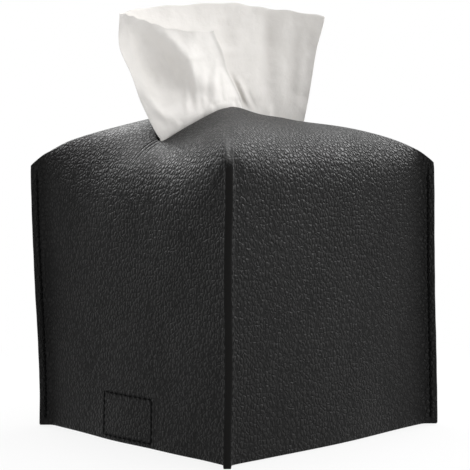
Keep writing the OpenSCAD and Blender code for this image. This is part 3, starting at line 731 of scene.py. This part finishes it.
# Half a flattened round carried up the fin's edge, swelling and thinning by two sines of the height.
def edgeBead(k):
    a = np.linspace(-math.pi / 2, math.pi / 2, 13)
    front = np.stack([bead["middle"] + bead["bulge"] * np.cos(a) ** 0.7, bead["half"] * np.sin(a)])
    back = np.array([[bead["back"], bead["back"]], [bead["backHalf"], -bead["backHalf"]]])
    out, side = join([front, back], 1)
    z = join([bead["footZ"], np.linspace(*bead["straight"]), bead["topZ"]])[:, None]
    shrink = join([bead["footShrink"], np.ones(bead["straight"][2]), bead["topShrink"]])[:, None]
    wobble = 0.06 * np.sin(z / 5.3 + k) + 0.05 * np.sin(z / 2.1 + 2 * k)
    out = bead["back"] + (out - bead["back"]) * shrink * (1 + wobble)
    flat = finSpot(k, out, side * (0.6 + 0.4 * shrink))
    points, faces = closedTube(join([flat, np.broadcast_to(z, out.shape)[..., None]], -1))
    return relax(points), faces[:, ::-1]


for k, corner in {3: "front_right", 0: "back_right", 1: "back_left", 2: "front_left"}.items():
    makePiece("seam_thread_" + corner, *seamThread(k), thread, "cover", "thread", "seam_" + corner)
    makePiece("edge_bead_" + corner, *edgeBead(k), edgePaint, "cover", "edge_coat", "edge_coat_" + corner,
              sharp=50)
print("seams and edges made")


# A place on the front wall: the outline plus the belly.
def frontPoint(x, z):
    share = x / panelEnd
    out = panelBelly(3, share) * (1 - z / panelStart(3, share)) ** 2
    return np.stack([x, -cover["halfWidth"] - out, z], -1)


# Stitches round the rectangle low on the front wall, as many to a side as the pitch allows, along the wall's
# own slope. Mirrored in Y for the back wall.
def boxStitches(wall, mirror):
    low = boxStitch["sewnFoot"][wall] + boxStitch["thread"] / 2
    wide, high = strap["width"] - 2 * boxStitch["inset"], boxStitch["top"] - low
    across, up = int(wide // boxStitch["pitch"]), int(high // boxStitch["pitch"])
    xs = (np.arange(across) + 0.5) * wide / across - wide / 2
    zs = low + (np.arange(up) + 0.5) * high / up
    x = join([xs, xs, np.full(up, -wide / 2), np.full(up, wide / 2)]) - strap["left"]
    z = join([np.full(across, low), np.full(across, low + high), zs, zs])
    spot = frontPoint(x, z)
    sideStep, upStep = frontPoint(x + 0.2, z) - spot, frontPoint(x, z + 0.2) - spot
    level = np.arange(len(x)) < 2 * across
    along, out = unit(np.where(level[:, None], sideStep, upStep)), unit(np.cross(sideStep, upStep))
    places = relax(spot * mirror) - boxStitch["sink"] * out * mirror
    return sewRow(places, along * mirror, out * mirror, boxStitch["visible"])


for wall, side in (("front", 1.0), ("back", -1.0)):
    makePiece("box_stitch_" + wall, *boxStitches(wall, np.array([1.0, side, 1.0])), thread, "cover", "thread",
              wall + "_box_stitch")


# Half-round edged cross section of a strap, as places across it and over it.
def ribbonCut(half, thick):
    a = np.linspace(-math.pi / 2, math.pi / 2, 5)
    r = thick / 2
    edge = np.stack([half - r + r * np.cos(a), r * np.sin(a)], 1)
    flat = np.linspace(1, -1, 15)[1:-1] * (half - r)
    return join([edge, np.stack([flat, np.full(13, r)], 1), -edge, np.stack([-flat, np.full(13, -r)], 1)])


# A strap under the carton: the cross section carried along Y from its fold at the front wall, where it is
# thinner, to its end, which is rounded by quarter circles. The tab is this mirrored in Y.
def flatStrap(name, fold, end, z, mirror, stands):
    corner = strap["corner"]
    y = join([-fold + np.array([-0.45, -0.3, 0.0, 0.6]), np.linspace(-fold + 2, end - corner, 50),
              end - corner * (1 - np.sin(np.linspace(0.15, math.pi / 2 - 0.02, 9)))])[:, None]
    tip = np.clip((y - (end - corner)) / corner, 0, 1)
    half = strap["width"] / 2
    narrow = (half - corner * (1 - np.sqrt(1 - tip ** 2))) / half
    squash = join([[0.35, 0.75, 0.97], np.ones(len(y) - 3)])[:, None]
    x, over = ribbonCut(half, strap["thick"]).T
    x = x * narrow
    points, faces = closedTube(np.stack([x, np.broadcast_to(y, x.shape), z + over * squash], -1))
    points = (points - np.array([strap["left"], 0, 0])) * np.array([1, -1 if mirror else 1, 1])
    makePiece(name, points, faces if mirror else faces[:, ::-1], webbing, stands, "strap", stands, sharp=60)


flatStrap("strap_long", strap["frontFold"], strap["reach"], strap["strapZ"], False, "long_strap")
flatStrap("strap_tab", strap["backFold"], -strap["tabEnd"], strap["tabZ"], True, "short_tab")


# A strap's end on the front wall's inside, its edges thinned by circles. For the back wall mirrored in Y.
def sewnEnd(name, foot, side, stands):
    top, half = strap["anchor"], strap["width"] / 2
    z = join([foot + np.array([0, 0.12, 0.4]), np.linspace(foot + 1, top - 1, 24), top - np.array([0.4, 0.12, 0])])
    gx, gz = np.meshgrid(np.linspace(-1, 1, 25) * half, z)
    fromEdge = np.minimum(1 - np.abs(gx) / half, 0.06) / 0.06
    fromEnd = np.clip(np.minimum(gz - foot, top - gz) / 0.6, 0, 1)
    edge, ends = [np.sqrt(np.clip(1 - (1 - t) ** 2, 0, 1)) for t in (fromEdge, fromEnd)]
    thick = np.zeros((*gx.shape, 3))
    thick[..., 1] = strap["thick"] / 2 * (0.35 + 0.65 * np.minimum(edge, ends))
    inside = cover["leather"] + cover["glue"] + cover["lining"] + 0.15 + strap["thick"] / 2
    middle = frontPoint(gx - strap["left"], gz) + np.array([0, inside, 0])
    points, faces = closedSlab(middle - thick, middle + thick)
    makePiece(name, relax(points * np.array([1, side, 1])), faces[:, ::side], webbing, "cover", "strap", stands,
              sharp=60)


sewnEnd("strap_sewn_front", strap["strapZ"] + strap["thick"] / 2 + strap["sewnGap"], 1, "strap_sewn_end")
sewnEnd("strap_sewn_back", strap["tabZ"] + strap["thick"] / 2 + strap["sewnGap"], -1, "tab_sewn_end")

# Hook and loop pads with their stitching
pad = {"width": 32.0, "length": 20.0, "start": 10.4, "thick": 0.9, "hookZ": 1.5, "loopZ": 2.4,
       "seamInset": 1.5, "pitch": 3.0, "visible": 2.4, "sink": 0.28}
padMiddle = pad["start"] + pad["length"] / 2


# A thin pad: its half thickness falls to a quarter at the edges by 14th powers.
def padSlab(name, z, material, body, slot, stands):
    u, v = np.meshgrid(*[np.sin(np.linspace(-1, 1, count) * math.pi / 2) for count in (45, 31)])
    lift = np.clip((1 - np.abs(u) ** 14) * (1 - np.abs(v) ** 14), 0, 1) ** 0.5
    roundness = 1 - 0.035 * (u * v) ** 2
    x, y = u * pad["width"] / 2 * roundness - strap["left"], v * pad["length"] / 2 * roundness + padMiddle
    middle, half = z + pad["thick"] / 2, pad["thick"] / 2 * (0.25 + 0.75 * lift)
    points, faces = closedSlab(np.stack([x, y, middle + half], -1), np.stack([x, y, middle - half], -1))
    makePiece(name, points, faces, material, body, slot, stands, sharp=60)


padSlab("hook_face", pad["hookZ"], hookFace, "long_strap", "hook", "hook_pad")
padSlab("loop_face", pad["loopZ"], loopFace, "short_tab", "loop", "loop_pad")


# Stitches round a pad on the strap's far side: rows at one pitch, centred on the pad.
def padThread(name, z, up, body, stands):
    halfX, halfY = pad["width"] / 2 - pad["seamInset"], pad["length"] / 2 - pad["seamInset"]
    pitch = pad["pitch"]
    nx, ny = int(halfX // pitch), int(halfY // pitch)
    i, j = np.arange(-nx, nx + 1) * pitch, np.arange(-ny + 1, ny) * pitch
    x = join([i, i, np.full(len(j), halfX), np.full(len(j), -halfX)])
    y = join([np.full(len(i), halfY), np.full(len(i), -halfY), j, j]) + padMiddle
    alongs = np.repeat([[1.0, 0, 0], [0, 1.0, 0]], [2 * len(i), 2 * len(j)], 0)
    ups = np.tile([0, 0, up], (len(x), 1))
    places = np.stack([x - strap["left"], y, np.full(len(x), z)], 1) - pad["sink"] * ups
    makePiece(name, *sewRow(places, alongs, ups, pad["visible"]), thread, body, "thread", stands)


padThread("hook_stitches", strap["strapZ"] - strap["thick"] / 2, -1.0, "long_strap", "hook_pad_stitches")
padThread("loop_stitches", strap["tabZ"] + strap["thick"] / 2, 1.0, "short_tab", "loop_pad_stitches")
print("straps made")

# Carton and film keep their CAD shape and get a better finish
for name, material in (("tissue_carton", board), ("slit_film", film)):
    nodes[name].data.materials.clear()
    nodes[name].data.materials.append(material)

# Stack of folded tissues: layers with round folds, each lying a little off the one below
stack = {"half": 52.2, "low": 5.6, "high": 97.6, "layers": 44, "perLayer": 8, "perSide": 32, "inset": 0.55,
         "slack": 0.35, "foldDepth": 0.5, "cornerCut": 0.02}


# Square rings, drawn in by half a round for each layer and by two sines of the layer's number.
def stackPiece():
    n, half = np.arange(stack["layers"])[:, None], stack["half"]
    step = (stack["high"] - stack["low"]) / stack["layers"]
    a = np.linspace(-math.pi / 2, math.pi / 2, stack["perLayer"])
    z = stack["low"] + step * (n + 0.5) + 0.5 * step * np.sin(a)
    slack = 0.5 * np.sin(n * 2.4) + 0.3 * np.sin(n * 5.1 + 1)
    inset = stack["inset"] + stack["slack"] * slack + stack["foldDepth"] * (1 - np.cos(a))
    s = np.linspace(-1, 1, stack["perSide"] + 1)[:-1]
    out = half * (1 - stack["cornerCut"] * s ** 8)
    loop = join([turned(k, s * out, out) for k in range(4)])
    flat = loop * (1 - inset.ravel() / half)[:, None, None]
    grid = join([flat, np.broadcast_to(z.ravel()[:, None, None], (*flat.shape[:2], 1))], -1)
    makePiece("folded_tissues", *closedTube(grid), stackPaper, "cover", "tissue_stack", "tissue_stack",
              sharp=70)


stackPiece()
print("carton filled")

# Pulled tissue: one sheet doubled over at the slot's front end, gathered in the slot and fanned out above.
# Columns run from the near layer's free edge, round the fold, to the back layer's right edge. slitX and slitY
# give their places in the film's slit, the tables right and near those at seven levels from the slot up, closer
# together low down, and drop how far the top edge lies under the highest point. Folds are rows of start and
# end as seen from the camera, width, and height towards it. Crumples are rows of two rates, a phase and a size.
tissue = {
    "cutWidth": 168.0, "cutLength": 112.0, "columns": 420, "rows": 110, "pleats": 19, "thick": 0.22,
    "foot": 97.9, "slitTop": 119.3, "top": 201.0, "slitShare": 0.16, "slotShare": 0.36, "overLip": 0.8,
    "deepest": 1.1, "fullest": 2.2, "lean": 0.22, "hem": 1.0, "wave": 0.25, "backCalm": 0.55, "levelPower": 1.7,
    "slitX": [1.3] * 5 + [1.1, 0] + [-1.3] * 6,
    "slitY": [-3, -11, -19, -25, -29.5, -32.8, -34, -27, -16, -3, 10, 22, 33.6],
    "right": [[4.2, -0.4, -6.7, -13.8, -20.2, -26.4, -31.8, -30.6, -18, -4.9, 7.8, 19.8, 31.6],
              [4, -1, -7.7, -15.2, -22.4, -29.1, -33.9, -32.1, -18.4, -4.7, 8.2, 20.4, 32.7],
              [3.5, -2.7, -10.1, -18.7, -26.2, -32.8, -37.3, -33.5, -19, -4.5, 9, 21.5, 34],
              [1, -5.9, -13.9, -23.6, -32, -38, -41.5, -35.1, -19.8, -4.1, 9.8, 23.1, 35.7],
              [-2.3, -9.4, -18.5, -28.6, -37.2, -42.6, -45.6, -36.4, -20.9, -3.4, 10.9, 24.7, 37.5],
              [-4.4, -12.9, -24.1, -33.7, -41.4, -47.2, -51.3, -38.5, -21.8, -2.5, 12, 26.3, 39.6],
              [-8.2, -18, -29.5, -37.8, -44.4, -49.2, -51.8, -41, -21.5, -1.4, 13, 28.5, 43.3]],
    "near": [[9.2, 16.6, 23, 27.9, 30.8, 32.4, 32.4, 20.5, 10.5, 0.7, -9.2, -19.8, -29.6],
             [9.4, 16.7, 22.9, 26.9, 30.2, 32.6, 31.9, 19.7, 10.1, 0.1, -9.4, -19.5, -28.5],
             [9.8, 17, 22.8, 23.9, 26.8, 30.3, 29.4, 18.4, 8.9, -1.1, -9.5, -19, -26.4],
             [10.9, 17.6, 23, 18.9, 19.9, 24.6, 25.2, 16.1, 6.6, -3.8, -10.7, -17.8, -22.6],
             [12.1, 17.8, 22.4, 14.2, 13.7, 18.4, 20.4, 11.5, 2.4, -6.9, -12.5, -16.3, -17.5],
             [13, 17.9, 21.5, 14.7, 12.6, 15, 15.9, 5.8, -2.9, -9.8, -13.5, -14.2, -12.1],
             [14, 17, 17.5, 16.5, 15, 12, 8.5, -1, -8, -12, -13, -11, -6]],
    "drop": [16.2, 16.4, 14.8, 12.0, 9.6, 7.8, 6.8, 3.4, 1.4, 0.4, 2.6, 4.9, 8.0],
    "nearFolds": (((-15, 146), (-18.5, 170), 1.8, 1.4), ((-18.5, 170), (-29, 183), 2.6, 1.0),
                  ((-11.5, 147), (-11.0, 166), 1.5, -0.9), ((-8.0, 148), (-7.0, 172), 1.6, 0.8),
                  ((-4.0, 149), (-6.5, 166), 1.2, -0.7), ((-27, 141), (-43, 157), 2.8, 1.7),
                  ((-24, 139), (-40, 145.5), 2.8, -1.9), ((-19.5, 143), (-21, 160), 1.5, 1.0),
                  ((-13, 146), (-12.5, 154), 1.0, 0.8)),
    "backFolds": (((15.5, 148), (15.0, 196), 4.0, -1.5), ((22, 150), (23, 192), 6.0, 0.9),
                  ((5.0, 150), (-1.5, 166), 1.1, -1.2), ((8.2, 149), (2.0, 164), 1.0, 1.1),
                  ((11.0, 148), (6.5, 158), 1.0, -0.6), ((-2.5, 178), (-6.0, 192), 4.0, -0.9),
                  ((30, 150), (33, 186), 3.0, 0.7)),
    "crumples": ((0.21, 0.10, 0.3, 0.34), (-0.13, 0.24, 1.9, 0.3), (0.33, -0.19, 4.0, 0.16),
                 (0.08, 0.37, 2.2, 0.15), (0.5, 0.41, 0.7, 0.11), (0.9, -0.5, 1.1, 0.05)),
}


# Catmull-Rom curve through evenly spaced rows of values, at u from 0 to 1.
def spline(values, u):
    v = np.asarray(values, float)
    x = u * (len(v) - 1)
    i = np.clip(np.floor(x).astype(int), 0, len(v) - 2)
    f = (x - i).reshape(u.shape + (1,) * (v.ndim - 1))
    a, b, c, d = v[np.maximum(i - 1, 0)], v[i], v[i + 1], v[np.minimum(i + 2, len(v) - 1)]
    return b + f * (c - a + f * (2 * a - 5 * b + 4 * c - d + f * (3 * b - 3 * c + d - a))) / 2


# A fold: a bell across the line from start to end, tapered at both ends.
def foldLine(right, up, start, end, width, height):
    length = math.dist(start, end)
    dx, dy = (end[0] - start[0]) / length, (end[1] - start[1]) / length
    share = ((right - start[0]) * dx + (up - start[1]) * dy) / length
    across = (right - start[0]) * dy - (up - start[1]) * dx
    return height * bell(across, width) * ramp(share, -0.12, 0.25) * ease((1.12 - share) / 0.3)


# Small waves: sines in two directions, each bent by the other.
def crumple(a, b, pattern):
    return sum(size * np.sin(p * a + q * b + c + 1.3 * np.sin(q * a - p * b + 2 * c))
               for p, q, c, size in pattern)


# The sheet over u along its width and v up its length: straight lines from slit to mouth, the level tables
# above, then pleats as sines across the path, then folds and crumples. Also its places on the flat sheet.
def tissueSheet():
    columns = np.linspace(0, 1, tissue["columns"] + 1)
    u, v = np.meshgrid(columns, np.linspace(0, 1, tissue["rows"] + 1))
    toRight, toNear = np.array([1, 1]) / root2, np.array([1, -1]) / root2
    slitShare, slotShare, foot, slitTop = (tissue[key] for key in ("slitShare", "slotShare", "foot", "slitTop"))
    below = np.clip(v / slitShare, 0, 1)
    inside = np.clip((v - slitShare) / (slotShare - slitShare), 0, 1)
    above = np.clip((v - slotShare) / (1 - slotShare), 0, 1)
    # the level tables, made smooth along the sheet and then upwards
    levels = np.stack([spline(np.transpose(tissue[key]), columns) for key in ("right", "near")], -1)
    position = above ** (1 / tissue["levelPower"])
    spread = np.stack([spline(levels[c], position[:, c]) for c in range(len(columns))], 1)
    fan = spread[..., :1] * toRight + spread[..., 1:] * toNear
    slit = np.stack([spline(tissue["slitX"], u), spline(tissue["slitY"], u)], -1)
    flat = np.where((v < slotShare)[..., None], slit + (fan[0] - slit) * ease(inside)[..., None], fan)
    alongSlot = np.clip(flat[np.searchsorted(v[:, 0], slotShare), :, 1] / (cover["slotLength"] / 2), -1, 1)
    mouth = rimHeight(np.degrees(np.arcsin(alongSlot))) + tissue["overLip"]
    topZ = tissue["top"] - spline(tissue["drop"], u)
    z = foot + (slitTop - foot) * below + (mouth - slitTop) * inside + (topZ - mouth) * above

    # gathers take up what the sheet is wider than its path: depth from the path's length and the pleats' pitch
    pace = np.linalg.norm(np.gradient(flat, axis=1), axis=-1, keepdims=True) + 1e-9
    along = np.gradient(flat, axis=1) / pace
    away = np.stack([along[..., 1], -along[..., 0]], -1)
    path = pace.sum(1)
    fullness = np.clip(tissue["cutWidth"] / path, 1, tissue["fullest"])
    depth = path / tissue["pleats"] / (2 * math.pi) * np.sqrt(2 * (fullness ** 2 - 1))
    fade = 1 - 0.99 * ease((v - 0.24 - 0.05 * np.sin(u * 37)) / 0.16)
    depth = np.minimum(depth, tissue["deepest"]) * fade * ease(np.minimum(u, 1 - u) / 0.012)
    share = np.cumsum(pace[..., 0], 1) / path
    uneven = 0.022 * np.sin(share * 17 + 1) + 0.009 * np.sin(share * 43)
    phase = 2 * math.pi * tissue["pleats"] * (share + uneven)
    gather = depth * (0.65 + 0.35 * np.sin(share * 29 + 2)) * np.sin(phase)
    flat = flat + gather[..., None] * away + (tissue["lean"] * depth * np.sin(2 * phase))[..., None] * along

    # folds and crumples as the camera sees them, each pushed towards it or away
    right, up = flat @ toRight, z
    shown = ease(above / 0.12)
    nearLayer = (1 - ramp(u, 0.40, 0.06)) * shown
    backLayer = ramp(u, 0.5, 0.05) * shown
    near = tissue["hem"] * (1 - ease(u / 0.03)) + sum(foldLine(right, up, *row) for row in tissue["nearFolds"])
    back = sum(foldLine(right, up, *row) for row in tissue["backFolds"])
    soft = crumple(right, up, tissue["crumples"]) * shown * (1 - tissue["backCalm"] * backLayer)
    flat = flat + (near * nearLayer + back * backLayer + soft)[..., None] * toNear
    z = z + tissue["wave"] * np.sin(u * 90 + 2) * ramp(v, 0.97, 0.03)
    cut = np.stack([u * tissue["cutWidth"], v * tissue["cutLength"]], -1) * metres
    return join([flat, z[..., None]], -1), cut


sheetGrid, sheetCut = tissueSheet()
rows, columns = sheetGrid.shape[:2]
pulledSheet = makePiece("tissue_sheet", sheetGrid, gridFaces(rows, columns), shadedTissuePaper, "pulled_tissue",
                        "tissue", "pulled_tissue", uv=sheetCut)
ply = pulledSheet.modifiers.new("ply", "SOLIDIFY")
ply.thickness = tissue["thick"] * metres
ply.offset = 0
print("tissue made:", rows * columns, "points")

# Floor, world and lamps: rows of name, place, width and power in watts.
studio = {
    "floor": 0.80, "floorGlow": 0.85, "worldGlow": 0.63, "aim": (0, 0, 0.09), "floorHalf": 3, "floorZ": -0.0004,
    "lamps": (("topLamp", (-0.12, 0.12, 1.1), 0.7, 3.4), ("sideLamp", (1.0, 0.3, 0.4), 0.7, 4.4),
              ("frontLamp", (0.85, -0.15, 0.75), 0.6, 0.5), ("leftLamp", (-0.85, -0.02, 0.72), 0.85, 4.0),
              ("rightLamp", (0.12, 0.82, 0.85), 0.85, 7.0)),
    # these two give only highlights, so that the tissue's back isn't burnt out
    "sheens": (("leftSheen", (-0.85, 0.1, 0.75), 0.85, 8.5), ("rightSheen", (0.12, 0.82, 0.8), 0.85, 9.5)),
}


# 1 for rays from the camera and for those in reflections and glass, which see the white surround.
def seenRays(tree):
    path = addNode(tree, "LightPath").outputs
    return highest(tree, [path[name] for name in ("Is Camera Ray", "Is Glossy Ray", "Is Transmission Ray")])


# Pale floor, seen as plain white by a share that grows outwards, so that the shadow stays near the object.
def floorMaterial():
    material, tree, shader, place = newMaterial("paleFloor", (studio["floor"],) * 3, 0.9, specular=0.1)
    glow = addNode(tree, "Emission", {"Strength": 1.0}).outputs["Emission"]
    distance = addNode(tree, "VectorMath", {0: place}, operation="LENGTH").outputs["Value"]
    far = stepBetween(tree, distance, 0.10, 0.30, studio["floorGlow"], 1.0)
    share = calculate(tree, "MULTIPLY", far, seenRays(tree))
    mix = addNode(tree, "MixShader", {"Fac": share, 1: shader.outputs["BSDF"], 2: glow})
    feed(tree, tree.nodes["Material Output"].inputs["Surface"], mix.outputs["Shader"])
    return material


floorMesh = bpy.data.meshes.new("floor")
corners = [(x * studio["floorHalf"], y * studio["floorHalf"], studio["floorZ"])
           for x, y in ((-1, -1), (1, -1), (1, 1), (-1, 1))]
floorMesh.from_pydata(corners, [], [(0, 1, 2, 3)])
floor = newObject("floor", floorMesh)
floorMesh.materials.append(floorMaterial())

world = bpy.data.worlds.new("whiteRoom")
bpy.context.scene.world = world
world.use_nodes = True
tree = world.node_tree
tree.nodes.clear()
strength = stepBetween(tree, seenRays(tree), 0.0, 1.0, studio["worldGlow"], 1.0)
background = addNode(tree, "Background", {"Color": (1, 1, 1, 1), "Strength": strength})
addNode(tree, "OutputWorld", {"Surface": background.outputs["Background"]})


# A round lamp that faces away from its own Z axis, towards the aim.
def areaLamp(name, place, size, power):
    data = bpy.data.lights.new(name, "AREA")
    data.shape, data.size, data.energy = "DISK", size, power
    back = unit(np.subtract(place, studio["aim"]))
    side = unit(np.cross([0, 1, 0.01], back))
    axes = np.column_stack([side, np.cross(back, side), back, place])
    lamp = newObject(name, data)
    lamp.matrix_world = Matrix([*axes.tolist(), (0, 0, 0, 1)])
    return lamp


for row in studio["lamps"]:
    areaLamp(*row)
for row in studio["sheens"]:
    areaLamp(*row).visible_diffuse = False

# Camera fitted to the fins' ends and the feet of the walls
eye = {"imagePixels": 470, "focalPixels": 1321.9, "sensor": 36.0, "azimuth": 46.787, "pitch": 3.06,
       "roll": -0.55, "distance": 0.625, "height": 0.1235}
turns = ((eye["azimuth"], "Z"), (90 - eye["pitch"], "X"), (eye["roll"], "Z"))
around, tilt, roll = (Matrix.Rotation(math.radians(angle), 4, axis) for angle, axis in turns)
spot = around @ Matrix.Translation((0, -eye["distance"], eye["height"]))
cameraData = bpy.data.cameras.new("camera")
cameraData.sensor_width = eye["sensor"]
cameraData.lens = eye["sensor"] * eye["focalPixels"] / eye["imagePixels"]
camera = newObject("camera", cameraData)
camera.matrix_world = spot @ tilt @ roll
bpy.context.scene.camera = camera
bpy.context.scene.view_settings.view_transform = "Standard"
bpy.context.view_layer.update()
